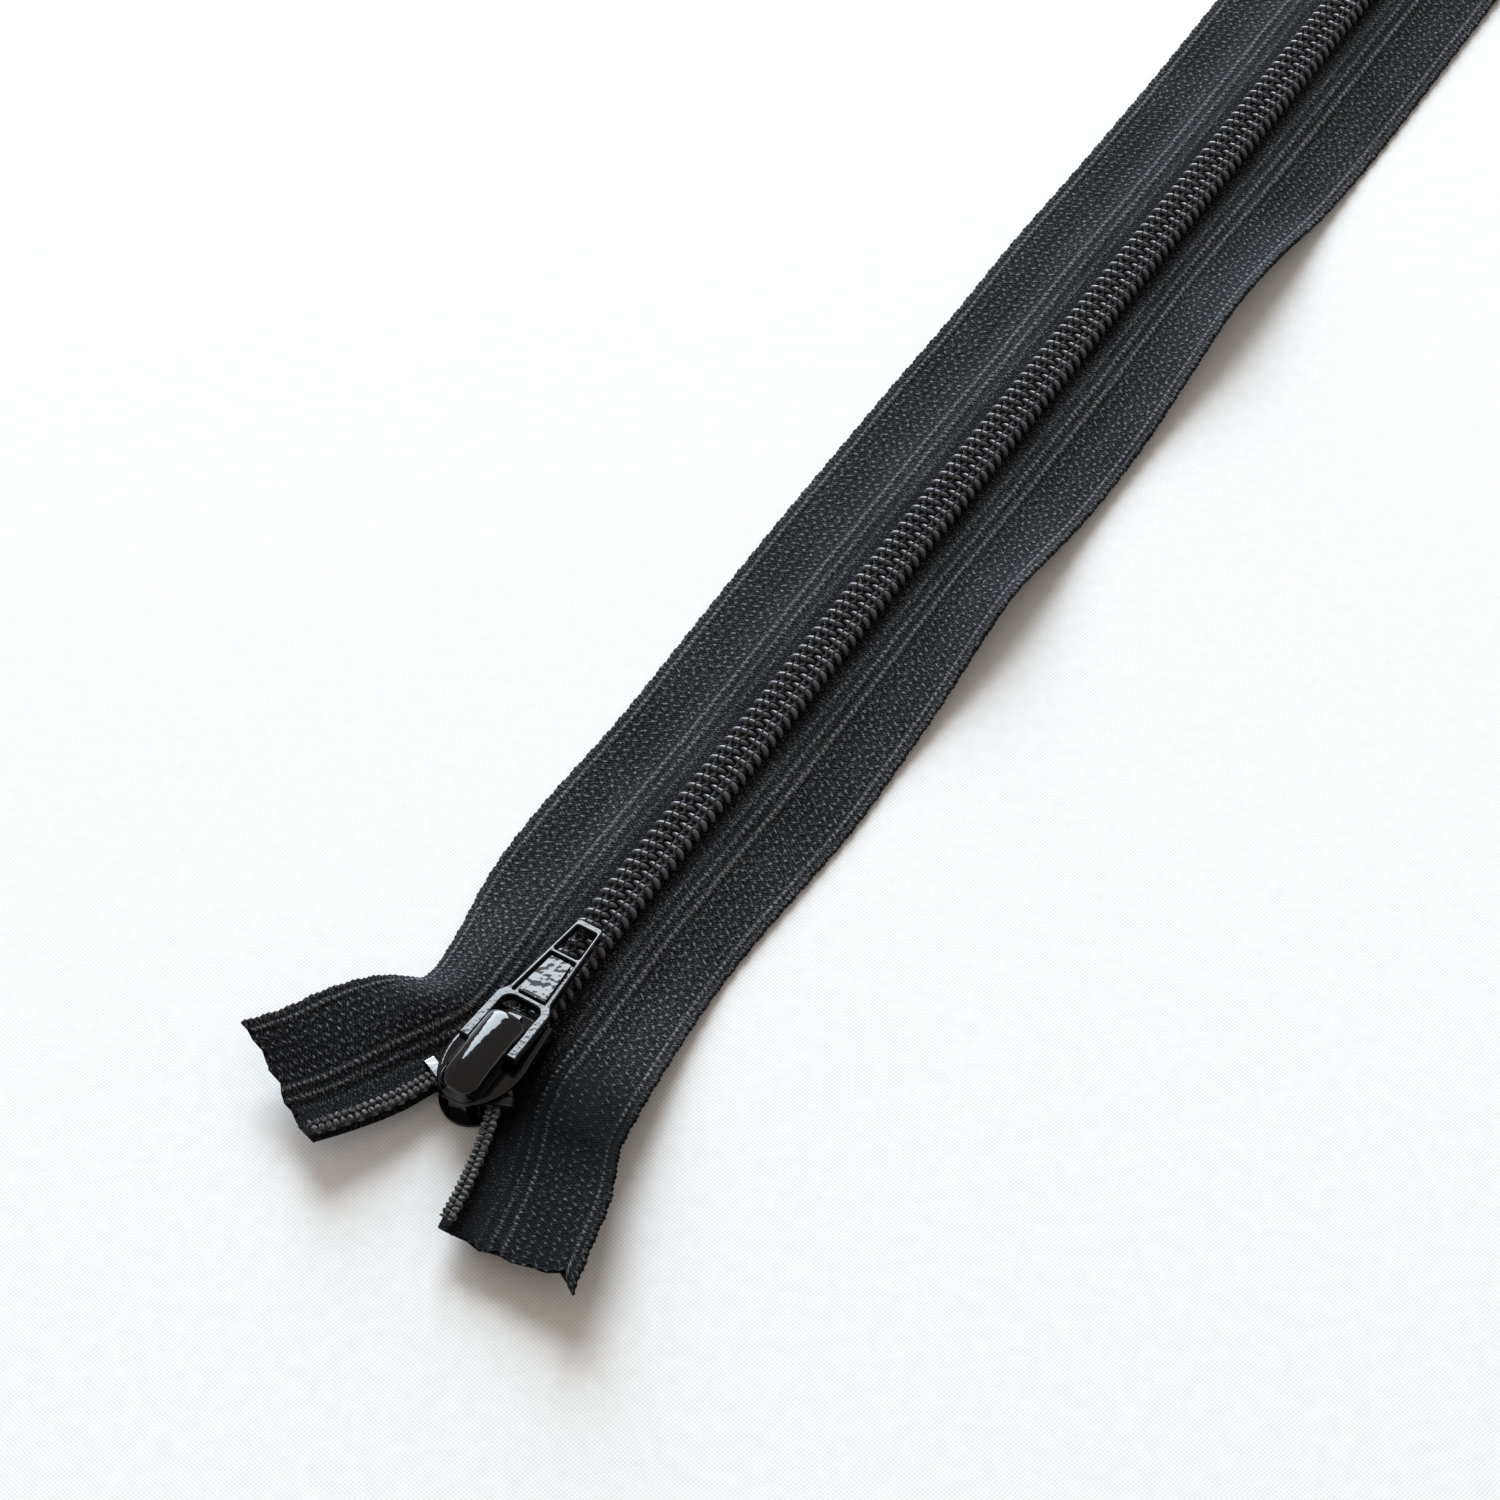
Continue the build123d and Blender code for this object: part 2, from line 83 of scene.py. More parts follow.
# A flap leaves the table over LIFT_LENGTH, and its ragged cut end is thinner.
LIFT_Y, LIFT_LENGTH = -91.0, 11.0
CUT_LENGTH, CUT_THIN_LENGTH, CUT_THINNER = 4.0, 0.5, 0.35

# Each tape's shape, from its cut end to its tail: length along it, inner edge x, y, z,
# outer edge x, y, z, and how far the middle bulges up.
FLAPS = {
    "left": (
        (-118.5, 8.3, -116.6, 2.8, 18.7, -110.6, 5.5, 0.0),
        (-114.1, 5.9, -112.8, 2.2, 16.9, -107.3, 4.8, 0.1),
        (-109.4, 3.75, -108.6, 1.6, 15.4, -103.0, 3.8, 0.3),
        (-105.8, 2.6, -105.3, 1.2, 13.9, -100.3, 3.2, 0.7),
        (-103.0, 1.34, -102.84, 1.075, 12.7, -98.7, 2.7, 1.1),
        (-100.5, 0.53, -100.46, 1.075, 11.4, -97.3, 1.8, 1.5),
        (-98.5, 0.2, -98.5, 1.075, 10.5, -96.3, 1.0, 1.8),
        (-96.0, 0.15, -96.0, 1.075, 10.2, -94.6, 0.7, 1.7),
        (-93.0, 0.15, -93.0, 1.075, 10.4, -92.6, 0.6, 1.5),
        (-89.0, 0.15, -89.0, 1.075, 11.0, -89.0, 0.5, 1.1),
    ),
    "right": (
        (-118.3, 6.0, -117.9, 2.7, 19.3, -117.3, 4.4, -0.3),
        (-113.6, 4.95, -113.2, 2.0, 18.0, -112.4, 4.2, -0.2),
        (-109.2, 3.75, -109.0, 1.5, 16.9, -108.3, 4.0, 0.0),
        (-105.8, 2.5, -105.4, 1.2, 15.5, -105.2, 3.7, 0.3),
        (-103.0, 1.34, -102.84, 1.075, 14.6, -103.2, 3.5, 0.6),
        (-99.5, 0.33, -99.47, 1.075, 13.9, -99.8, 3.0, 0.7),
        (-95.0, 0.15, -95.0, 1.075, 13.1, -95.3, 2.2, 0.4),
        (-90.7, 0.15, -90.7, 1.075, 12.4, -90.9, 1.4, 0.2),
    ),
}
# The straight part's outer edge: y, x, z, bulge.
EDGES = {
    "left": (
        (-85, 11.8, 0.45, 0.6), (-81, 12.3, 0.4, 0.25), (-77, 12.45, 0.35, 0), (-62, 12.1, 0.35, 0),
        (-42, 12.45, 0.35, 0.1), (-15, 12.45, 0.4, 0), (-3, 12.2, 0.6, 0), (10, 12.35, 0.4, 0.1),
        (28, 12.0, 0.5, 0), (55, 12.2, 0.35, 0), (85, 12.35, 0.6, 0.1), (116, 12.3, 0.4, 0),
    ),
    "right": (
        (-86.5, 11.9, 0.9, 0), (-82, 11.6, 0.5, 0.1), (-77, 11.65, 0.4, 0), (-70, 12.0, 0.35, 0),
        (-62, 12.35, 0.35, 0), (-54, 12.2, 0.4, 0), (-46, 12.1, 1.3, 0), (-38, 11.9, 2.6, 0),
        (-32, 11.8, 3.1, 0), (-26, 12.0, 2.4, 0), (-20, 12.1, 1.4, 0), (-7, 12.1, 1.2, 0),
        (1, 11.9, 2.2, 0), (12, 11.7, 3.4, 0), (21, 11.9, 2.6, 0), (29, 12.2, 0.9, 0),
        (36, 12.35, 0.35, 0), (60, 12.4, 0.4, 0.1), (90, 12.2, 0.7, 0), (116, 12.3, 0.35, 0),
    ),
}


# ---------------------------------------------------------------- mesh helpers
def smooth(t):
    """0 before 0, 1 after 1, and a smooth step between."""
    t = np.clip(t, 0.0, 1.0)
    return t * t * (3 - 2 * t)


def spline(at, knots, values):
    """Cubic curve through the values at the knots."""
    knots, values = np.asarray(knots, float), np.asarray(values, float)
    slope = np.gradient(values, knots, axis=0)
    i = np.clip(np.searchsorted(knots, at) - 1, 0, len(knots) - 2)
    h = (knots[i + 1] - knots[i])[:, None]
    t = ((at - knots[i]) / (knots[i + 1] - knots[i]))[:, None]
    t = np.clip(t, 0.0, 1.0)
    return (
        (2 * t**3 - 3 * t**2 + 1) * values[i]
        + (t**3 - 2 * t**2 + t) * h * slope[i]
        + (3 * t**2 - 2 * t**3) * values[i + 1]
        + (t**3 - t**2) * h * slope[i + 1]
    )


def add_mesh(name, points, quads, tris=(), uv=None, painted_highlight=None):
    """A smooth-shaded mesh object from points in millimetres, with a painted highlight per point
    that lightens its yarn's colour.
    """
    mesh = bpy.data.meshes.new(name)
    quads = np.asarray(quads, np.int32).reshape(-1, 4)
    tris = np.asarray(tris, np.int32).reshape(-1, 3)
    corners = np.concatenate([quads.ravel(), tris.ravel()])
    starts = np.concatenate([np.arange(len(quads)) * 4, len(quads) * 4 + np.arange(len(tris)) * 3])
    mesh.vertices.add(len(points))
    mesh.vertices.foreach_set("co", (np.asarray(points) * MM).astype(np.float32).ravel())
    mesh.loops.add(len(corners))
    mesh.loops.foreach_set("vertex_index", corners.astype(np.int32))
    mesh.polygons.add(len(starts))
    mesh.polygons.foreach_set("loop_start", starts.astype(np.int32))
    mesh.update(calc_edges=True)
    mesh.polygons.foreach_set("use_smooth", np.ones(len(starts), bool))
    if uv is not None:
        layer = mesh.uv_layers.new(name="millimetres")
        layer.data.foreach_set("uv", np.asarray(uv, np.float32)[corners].ravel())
    if painted_highlight is not None:
        layer = mesh.attributes.new("painted_highlight", "FLOAT", "POINT")
        layer.data.foreach_set("value", np.asarray(painted_highlight, np.float32).ravel())
    mesh.validate()
    piece = bpy.data.objects.new(name, mesh)
    bpy.context.scene.collection.objects.link(piece)
    return piece


def strip(rows, ring, closed=True):
    """Quads of a grid of rows by ring points, with the ring closed or open."""
    r, k = np.meshgrid(np.arange(rows - 1), np.arange(ring if closed else ring - 1), indexing="ij")
    n = (k + 1) % ring
    corners = (r * ring + k, r * ring + n, (r + 1) * ring + n, (r + 1) * ring + k)
    return np.stack(corners, -1).reshape(-1, 4)


def tube(path, normal, across, along, ring=8, phase=0.0):
    """Points of a tube round a path, across it by one radius and along its normal by another."""
    path = np.asarray(path, float)
    tangent = np.gradient(path, axis=0)
    tangent /= np.linalg.norm(tangent, axis=1)[:, None]
    side = np.cross(tangent, normal)
    side /= np.linalg.norm(side, axis=1)[:, None]
    up = np.cross(side, tangent)
    turn = phase + np.arange(ring) * 2 * math.pi / ring
    across = np.broadcast_to(np.asarray(across, float), len(path))[:, None, None]
    along = np.broadcast_to(np.asarray(along, float), len(path))[:, None, None]
    return (
        path[:, None]
        + across * np.cos(turn)[None, :, None] * side[:, None]
        + along * np.sin(turn)[None, :, None] * up[:, None]
    )


def fans(rows, ring):
    """Triangles that close both ends of a tube."""
    first = [(0, k + 1, k) for k in range(1, ring - 1)]
    base = (rows - 1) * ring
    last = [(base, base + k, base + k + 1) for k in range(1, ring - 1)]
    return first + last


def add_tube(name, path, normal, across, along, ring=8, phase=0.0, painted_highlight=0.5):
    """A closed tube object, with its UV map in millimetres round and along it."""
    points = tube(path, normal, across, along, ring, phase)
    rows = len(points)
    length = np.concatenate([[0], np.cumsum(np.linalg.norm(np.diff(path, axis=0), axis=1))])
    wide = 2 * math.pi * float(np.mean(across))
    grid = np.stack(
        np.broadcast_arrays(np.arange(ring)[None] / ring * wide, length[:, None]), -1
    )
    lit = np.broadcast_to(np.broadcast_to(painted_highlight, rows)[:, None], (rows, ring))
    flat = points.reshape(-1, 3)
    return add_mesh(name, flat, strip(rows, ring), fans(rows, ring), grid.reshape(-1, 2), lit)


# ---------------------------------------------------------------- the tapes' surface
def stations(hand):
    """Knots and values of a tape's shape: inner xyz, outer xyz and bulge."""
    rows = [list(r) for r in FLAPS[hand]]
    for y, x, z, bulge in EDGES[hand]:
        rows.append([y, EDGE_X, y, INNER_Z, x, y, z, bulge])
    rows = np.array(rows, float)
    return rows[:, 0], rows[:, 1:]


STATIONS = {hand: stations(hand) for _, hand in SIDES}
FLAP_END = {hand: STATIONS[hand][0][0] for _, hand in SIDES}


def middle(side, hand, u, v):
    """Points of a tape's middle surface, u across it from its inner edge and v along it."""
    u, v = np.broadcast_arrays(np.asarray(u, float), np.asarray(v, float))
    flat_v = v.ravel()
    knots, values = STATIONS[hand]
    shape = spline(flat_v, knots, values)
    beyond = np.maximum(knots[0] - flat_v, 0)[:, None]
    ahead = spline(np.array([knots[0], knots[0] + 0.5]), knots, values)
    shape = shape - beyond * (ahead[1] - ahead[0]) / 0.5
    in_x, in_y, in_z, out_x, out_y, out_z, bulge = shape.T
    flat_u = u.ravel()
    t = flat_u / TAPE_WIDTH
    free = np.clip((flat_u - FREE_U) / (TAPE_WIDTH - FREE_U), 0, 1)
    flap = smooth((LIFT_Y - flat_v) / LIFT_LENGTH)
    rest = TABLE_Z * (1 - flap) + in_z * flap
    power = 2.0 - 0.9 * flap
    x = in_x + (out_x - in_x) * t
    y = in_y + (out_y - in_y) * t
    z = in_z + (rest - in_z) * smooth(free * 1.8)
    z = z + (out_z - rest) * free**power
    z = z + bulge * np.sin(math.pi * free) ** 1.3
    shift = 0.0 if side < 0 else 1.9
    wave = np.sin(flat_v / WAVE_LENGTHS[0] + shift)
    wave = wave * np.sin(flat_v / WAVE_LENGTHS[1] + 2.1 * shift + 0.6)
    z = z + WAVE_HEIGHT * wave * free * (1 - 0.5 * free)
    # the waves don't sink into the table
    z = np.where(free > 0, np.maximum(z, np.minimum(TABLE_Z - 0.04, in_z)), z)
    return np.stack([side * x, y, z], -1).reshape(*u.shape, 3)


def on_tape(side, hand, u, v, height=0.0):
    """Points at a height over a tape's middle surface, and the surface's normals there."""
    u, v = np.broadcast_arrays(np.asarray(u, float), np.asarray(v, float))
    small = 0.05
    here = middle(side, hand, u, v)
    du = middle(side, hand, u + small, v) - middle(side, hand, u - small, v)
    dv = middle(side, hand, u, v + small) - middle(side, hand, u, v - small)
    normal = np.cross(du, dv) * side
    normal /= np.linalg.norm(normal, axis=-1)[..., None]
    return here + normal * np.asarray(height)[..., None], normal


def ridge(u, at, half):
    """A rounded ridge across u."""
    return np.exp(-(((u - at) / half) ** 2))


def saw(v, period):
    """Triangle wave from -1 to 1."""
    return 2 * np.abs(2 * ((v / period) % 1.0) - 1) - 1


def rib_height(u, v):
    """Height of the three dotted ribs beside the coil and of the two corded selvedge lines."""
    beat = 0.5 + 0.5 * np.cos(4 * math.pi * v / PITCH)
    height = 0.0
    for at, half, high, dotted in RIBS:
        height = height + high * ridge(u, at, half) * (1 - dotted + dotted * beat)
    return height


def weave_height(u, v):
    """Height of the tape's weave over its plain thickness: the ribs, and zigzags between them."""
    low, high = ZIGZAG_BAND
    inside = smooth((u - low) / ZIGZAG_FADE) * (1 - smooth((u - high) / ZIGZAG_FADE))
    place = np.clip(np.round((u - ZIGZAG_U) / ZIGZAG_STEP), 0, ZIGZAG_LINES - 1)
    line = ZIGZAG_U + place * ZIGZAG_STEP + ZIGZAG_SWING * saw(v + place % 2 * PITCH / 4, PITCH)
    stitch = 0.6 + 0.4 * np.cos(4 * math.pi * v / PITCH + math.pi * place)
    return rib_height(u, v) + inside * ZIGZAG_HEIGHT * ridge(u, line, ZIGZAG_HALF) * stitch


def cut_edge(hand, u):
    """How far the cut end is eaten back from the flap's end, across the tape."""
    phase = 1.0 if hand == "left" else 3.3
    ragged = 0.2 * np.sin(u * 2.1 + phase) + 0.12 * np.sin(u * 6.3 + 0.7)
    if hand == "left":
        return 0.6 + ragged - 0.9 * smooth((u - 11.2) / 1.1)
    return 0.6 + ragged + 0.5 * smooth((u - 8.5) / 1.5) - 1.5 * smooth((u - 10.9) / 1.3)


def make_tape(side, hand):
    """One woven tape: a closed mesh with its ribs, zigzag weave and corded selvedge as geometry."""
    top_u = np.concatenate(
        [
            [0.0, 0.9, 1.8, 2.3, 2.7, 3.1],  # under the coil
            np.arange(3.4, 6.05, 0.13),  # ribs
            np.arange(6.1, 10.9, 0.17),  # zigzag band
            np.arange(10.95, TAPE_WIDTH + 0.01, 0.15),  # selvedge
        ]
    )
    bottom_u = np.array([12.25, 11.6, 10.6, 9.5, 8.4, 7.3, 6.3, 5.5, 4.5, 3.7, 2.5, 1.2, 0.05])
    u = np.concatenate([top_u, [TAPE_WIDTH + 0.1], bottom_u, [-0.1]])
    count = len(top_u)
    v = np.arange(FLAP_END[hand], TAIL_Y + STEP / 2, STEP)
    grid_u, grid_v = np.meshgrid(u, v, indexing="xy")
    from_end = grid_v - FLAP_END[hand]
    near_end = smooth(1 - from_end / CUT_LENGTH)
    ragged_v = grid_v + near_end * cut_edge(hand, np.clip(grid_u, 0, TAPE_WIDTH))
    bumps = 0.06 * np.cos(4 * math.pi * grid_v / PITCH) + 0.05 * np.sin(grid_v * 2.7)
    edge = smooth((grid_u - 11.6) / 0.7)
    lift = np.zeros_like(grid_u)
    above, below = slice(0, count), slice(count + 1, -1)
    lift[:, above] = HALF_THICK + weave_height(grid_u[:, above], grid_v[:, above])
    # the weave is a quarter as deep on the underside
    lift[:, below] = -HALF_THICK - 0.25 * weave_height(grid_u[:, below], grid_v[:, below])
    lift *= 1 - CUT_THINNER * smooth(1 - from_end / CUT_THIN_LENGTH)
    points, _ = on_tape(side, hand, grid_u + edge * bumps, ragged_v, lift)
    rows, ring = points.shape[:2]
    quads = strip(rows, ring)
    if side > 0:
        quads = quads[:, ::-1]

    def cap(base, flip):
        """Triangles between the top and the bottom of one end."""
        top = list(range(count))
        low = [ring - 1] + list(range(ring - 2, count - 1, -1))
        i, j, found = 0, 0, []
        while i < len(top) - 1 or j < len(low) - 1:
            step_top = j == len(low) - 1 or (i < len(top) - 1 and u[top[i + 1]] <= u[low[j + 1]])
            if step_top:
                found.append((base + top[i], base + top[i + 1], base + low[j]))
                i += 1
            else:
                found.append((base + top[i], base + low[j + 1], base + low[j]))
                j += 1
        return [t[::-1] for t in found] if flip else found

    tris = cap(0, side > 0) + cap((rows - 1) * ring, side < 0)
    uv = np.stack([grid_u, grid_v], -1).reshape(-1, 2)
    # Painted highlight: a rib's yarn is coloured lighter the higher it stands.
    painted_highlight = np.clip(rib_height(grid_u, grid_v) / RIB_HIGHEST, 0, 1)
    return add_mesh(f"woven_tape_{hand}", points.reshape(-1, 3), quads, tris, uv, painted_highlight)


# ---------------------------------------------------------------- the coils and threads
COIL_U, COIL_H = 0.8, 0.925  # the coil's middle, across the tape and over it
COIL_HALF_U, COIL_HALF_H = 0.98, 0.46
COIL_END_Y = 97.0
FIRST_TURN_Y = -96.7
WIRE_ALONG, WIRE_DEEP = 0.275, 0.24  # the wire's radii along the chain and through it
WIRE_LEAN = 0.5
WIRE_SIDES, WIRE_SIDE_WIDTH, WIRE_TURN_LENGTH = 8, 0.22, 5.6
TURN_SAMPLES = 22
# Past OPEN_Y the chain is open, and each coil is drawn in and its thread lies on top.
OPEN_Y, OPEN_LENGTH = -102.5, 2.0
OPEN_NARROW, OPEN_LOW, OPEN_SHIFT = 0.5, 0.6, 0.2
THREAD_ROWS = (0.45, 1.12)
THREAD_LOW, THREAD_OVER_TURN, THREAD_OVER_FLAP = 1.14, 0.46, 0.34
THREAD_SHIFT = 0.18
LOOPER_U, LOOPER_SWING = 1.1, 0.36


def flap_part(v):
    """0 along the closed chain and 1 along the open flap."""
    return smooth((OPEN_Y - v) / OPEN_LENGTH)


def make_coil(side, hand):
    """One coil: a flattened monofilament wound round its core cord, narrower at its heads."""
    start = FIRST_TURN_Y + (PITCH / 2 if side > 0 else 0.0)
    first = start - PITCH * math.floor((start - FLAP_END[hand] - 0.9) / PITCH)
    turns = int((COIL_END_Y - first) / PITCH)
    k = np.arange(turns * TURN_SAMPLES) / TURN_SAMPLES
    phase = 2 * math.pi * (k % 1.0)
    c, s = np.cos(phase), np.sin(phase)
    flap = flap_part(first + k * PITCH)
    reach = COIL_HALF_U * (1 - OPEN_NARROW * flap)
    u = COIL_U - OPEN_SHIFT * flap - reach * np.sign(c) * np.abs(c) ** 0.8
    h = COIL_H + COIL_HALF_H * (1 - OPEN_LOW * flap) * np.sign(s) * np.abs(s) ** 0.5
    # over the top the wire leans back a little; underneath it makes up the rest of the pitch
    turn = k % 1.0
    under = (PITCH + WIRE_LEAN) * smooth((turn - 0.5) / 0.5) - WIRE_LEAN
    v = first + np.floor(k) * PITCH + np.where(turn < 0.5, -2 * WIRE_LEAN * turn, under)
    centre, _ = on_tape(side, hand, u, v, h)
    along = np.zeros_like(centre)
    along[:, 1] = 1.0
    width = WIRE_ALONG - 0.07 * ridge(u, COIL_U - COIL_HALF_U, 0.45) - 0.1 * (s < 0) - 0.05 * flap
    depth = WIRE_DEEP - 0.06 * flap
    normal = np.cross(np.gradient(centre, axis=0), along)
    points = tube(centre, normal, width, depth, WIRE_SIDES, math.pi / WIRE_SIDES)
    rows = len(points)
    round_wire = np.arange(WIRE_SIDES)[None] * WIRE_SIDE_WIDTH
    uv = np.stack(np.broadcast_arrays(round_wire, k[:, None] * WIRE_TURN_LENGTH), -1)
    quads, tris = strip(rows, WIRE_SIDES), fans(rows, WIRE_SIDES)
    return add_mesh(f"wound_coil_{hand}", points.reshape(-1, 3), quads, tris, uv.reshape(-1, 2))


def make_stitches(side, hand, name, u_at):
    """A needle thread: thin over the coil's turns, wider in the gaps, and plump along the flap."""
    v = np.arange(FLAP_END[hand] + 0.8, TAIL_Y - 0.4, PITCH / 12)
    stagger = PITCH / 2 if side > 0 else 0.0
    turn = (v - FIRST_TURN_Y - stagger + WIRE_LEAN * u_at / 2) / PITCH
    over = (0.5 + 0.5 * np.cos(2 * math.pi * turn)) ** 0.7
    stitch = np.abs(np.sin(2 * math.pi * turn)) ** 1.3
    flap = flap_part(v)
    past_coil = smooth((v - COIL_END_Y + 1.0) / 3.0)
    gap = (1 - over) * (1 - flap)
    height = (THREAD_LOW + THREAD_OVER_TURN * over) * (1 - flap)
    height = height + (THREAD_LOW + THREAD_OVER_FLAP * stitch) * flap
    height = height * (1 - past_coil) + (0.25 + 0.12 * over) * past_coil
    width = 0.1 + 0.23 * flap * stitch + 0.09 * gap * (1 - past_coil)
    depth = 0.055 + 0.04 * past_coil + 0.08 * flap + 0.05 * gap * (1 - past_coil)
    # Painted highlight: the thread is coloured lighter where it bulges along the flap and in the
    # gaps between the coil's turns.
    painted_highlight = 0.25 + 0.75 * flap * stitch + 0.6 * gap
    centre, normal = on_tape(side, hand, u_at - THREAD_SHIFT * flap, v, height)
    return add_tube(f"{name}_{hand}", centre, normal, width, depth, painted_highlight=painted_highlight)


def make_looper(side, hand):
    """The looper thread under the tape, swinging between the two needle rows."""
    v = np.arange(FLAP_END[hand] + 0.8, TAIL_Y - 0.4, PITCH / 10)
    turn = 2 * math.pi * v / PITCH
    u = LOOPER_U + LOOPER_SWING * np.sin(turn)
    height = -HALF_THICK - 0.07 - 0.04 * np.cos(2 * turn)
    centre, normal = on_tape(side, hand, u, v + 0.1 * np.sin(2 * turn), height)
    return add_tube(f"looper_{hand}", centre, normal, 0.12, 0.09, 6)


def make_core(side, hand):
    """The core cord that the coil is wound round."""
    v = np.arange(FLAP_END[hand] + 0.7, COIL_END_Y + 0.5, 0.25)
    flap = flap_part(v)
    width = 0.7 + 0.03 * np.cos(2 * math.pi * v / PITCH) - 0.2 * flap
    centre, normal = on_tape(side, hand, COIL_U - OPEN_SHIFT * flap, v, COIL_H)
    return add_tube(f"cord_{hand}", centre, normal, width, 0.22 + 0.14 * flap, 12, painted_highlight=0.25)


# ---------------------------------------------------------------- the slider's crown
CROWN_LOW, CROWN_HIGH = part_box("slider_crown")
CROWN_REAR, CROWN_FRONT = CROWN_HIGH.y / MM, CROWN_LOW.y / MM
CROWN_BASE, CROWN_TOP, CROWN_HALF = CROWN_LOW.z / MM, CROWN_HIGH.z / MM, CROWN_HIGH.x / MM
PIVOT_Y = -100.6
NOTCH_HALF, NOTCH_TOP = 0.57, 5.0
REAR_ROUND, SIDE_ROUND, NOSE_LENGTH, NOSE_LIP = 0.4, 1.3, 2.5, 0.55
NOSE_POWER, SIDE_POWER, TOP_POWER = 2.3, 0.5, 0.45
DOME_RADIUS = 3.1
CROWN_BOW = 0.013
WALL = 0.3


def make_crown():
    """The crown's shell: a loaf with a domed top, a rounded rear and a bullet nose, open below."""
    turn = np.linspace(math.pi / 2, 0, 6)
    rear = CROWN_REAR - REAR_ROUND * (1 - np.sin(turn))
    nose_y = CROWN_FRONT + NOSE_LENGTH
    sides = np.linspace(rear[-1], nose_y, 24)[1:]
    notch = [PIVOT_Y + NOTCH_HALF, PIVOT_Y - NOTCH_HALF]
    nose = nose_y - NOSE_LENGTH * np.sin(np.linspace(0, math.pi / 2, 16))[1:]
    y = np.sort(np.concatenate([rear, sides, notch, nose]))[::-1]
    inset = REAR_ROUND - np.sqrt(np.maximum(REAR_ROUND**2 - np.maximum(y - rear[-1], 0) ** 2, 0))
    top = CROWN_TOP - CROWN_BASE - CROWN_BOW * (y - (CROWN_REAR + CROWN_FRONT) / 2) ** 2
    into_nose = np.clip((nose_y - y) / NOSE_LENGTH, 0, 1)
    nose_fall = (1 - into_nose**NOSE_POWER) ** (1 / NOSE_POWER)
    top = NOSE_LIP + (top - NOSE_LIP) * nose_fall - inset
    into_side = np.clip(CROWN_FRONT + SIDE_ROUND - y, 0, SIDE_ROUND)
    half = CROWN_HALF - SIDE_ROUND + np.sqrt(SIDE_ROUND**2 - into_side**2) - inset
    phase = np.linspace(math.pi, 0, 49)
    c, s = np.cos(phase)[None], np.sin(phase)[None]
    x = half[:, None] * np.sign(c) * np.abs(c) ** SIDE_POWER
    z = (top[:, None] - x**2 / (2 * DOME_RADIUS)) * np.abs(s) ** TOP_POWER
    points = np.stack(np.broadcast_arrays(x, y[:, None], CROWN_BASE + z), -1)
    rows, ring = points.shape[:2]
    flat = points.reshape(-1, 3)
    quads = strip(rows, ring, closed=False)
    middle_y, middle_z = flat[quads][:, :, 1].mean(1), flat[quads][:, :, 2].mean(1)
    quads = quads[(np.abs(middle_y - PIVOT_Y) > NOTCH_HALF) | (middle_z > NOTCH_TOP)]
    k = np.arange(ring // 2 - 1)
    last = (rows - 1) * ring
    rear_end = np.stack([k + 1, k, ring - 1 - k, ring - 2 - k], -1)
    nose_end = last + np.stack([k, k + 1, ring - 2 - k, ring - 1 - k], -1)
    piece = add_mesh("crown_shell", flat, np.concatenate([quads, rear_end, nose_end]))
    shell = piece.modifiers.new("wall", "SOLIDIFY")
    shell.thickness = WALL * MM
    shell.offset = -1.0
    return piece


# ---------------------------------------------------------------- materials
def new_material(name):
    """A node material, with its nodes, links and main shader."""
    material = bpy.data.materials.new(name)
    material.use_nodes = True
    nodes, links = material.node_tree.nodes, material.node_tree.links
    shader = nodes["Principled BSDF"]
    return material, nodes, links, shader


def ramp(nodes, links, source, stops):
    """A colour ramp fed by a factor. stops are (position, grey or rgb)."""
    node = nodes.new("ShaderNodeValToRGB")
    while len(node.color_ramp.elements) < len(stops):
        node.color_ramp.elements.new(0.5)
    for element, (position, value) in zip(node.color_ramp.elements, stops):
        element.position = position
        rgb = (value,) * 3 if isinstance(value, float) else value
        element.color = (*rgb, 1.0)
    links.new(source, node.inputs["Fac"])
    return node.outputs["Color"]


def noise(nodes, links, vector, scale, detail=3.0, stretch=(1, 1, 1)):
    """A noise factor at a scale, which may differ from axis to axis."""
    mapping = nodes.new("ShaderNodeMapping")
    mapping.inputs["Scale"].default_value = [scale * s for s in stretch]
    links.new(vector, mapping.inputs["Vector"])
    node = nodes.new("ShaderNodeTexNoise")
    node.inputs["Scale"].default_value = 1.0
    node.inputs["Detail"].default_value = detail
    links.new(mapping.outputs["Vector"], node.inputs["Vector"])
    return node.outputs["Fac"]


def bump(nodes, links, height, distance, strength=1.0, before=None):
    """Normals bumped by a height in millimetres, on top of an earlier bump if there is one."""
    node = nodes.new("ShaderNodeBump")
    node.inputs["Distance"].default_value = distance * MM
    node.inputs["Strength"].default_value = strength
    links.new(height, node.inputs["Height"])
    if before is not None:
        links.new(before, node.inputs["Normal"])
    return node.outputs["Normal"]


class Sums:
    """Short names for the Math nodes of one material."""

    def __init__(self, nodes, links):
        self.nodes, self.links = nodes, links

    def __call__(self, operation, *values, clamp=False):
        node = self.nodes.new("ShaderNodeMath")
        node.operation = operation
        node.use_clamp = clamp
        for socket, value in zip(node.inputs, values):
            if isinstance(value, (int, float)):
                socket.default_value = value
            else:
                self.links.new(value, socket)
        return node.outputs["Value"]


# Painted shade: a flap's yarn is coloured darker past SHADE_Y, and the right tape's also round
# FOLD_Y, where it bends away from the light.
SHADE_Y = -98.0
FOLD_Y, FOLD_HALF = -101.5, 8.0


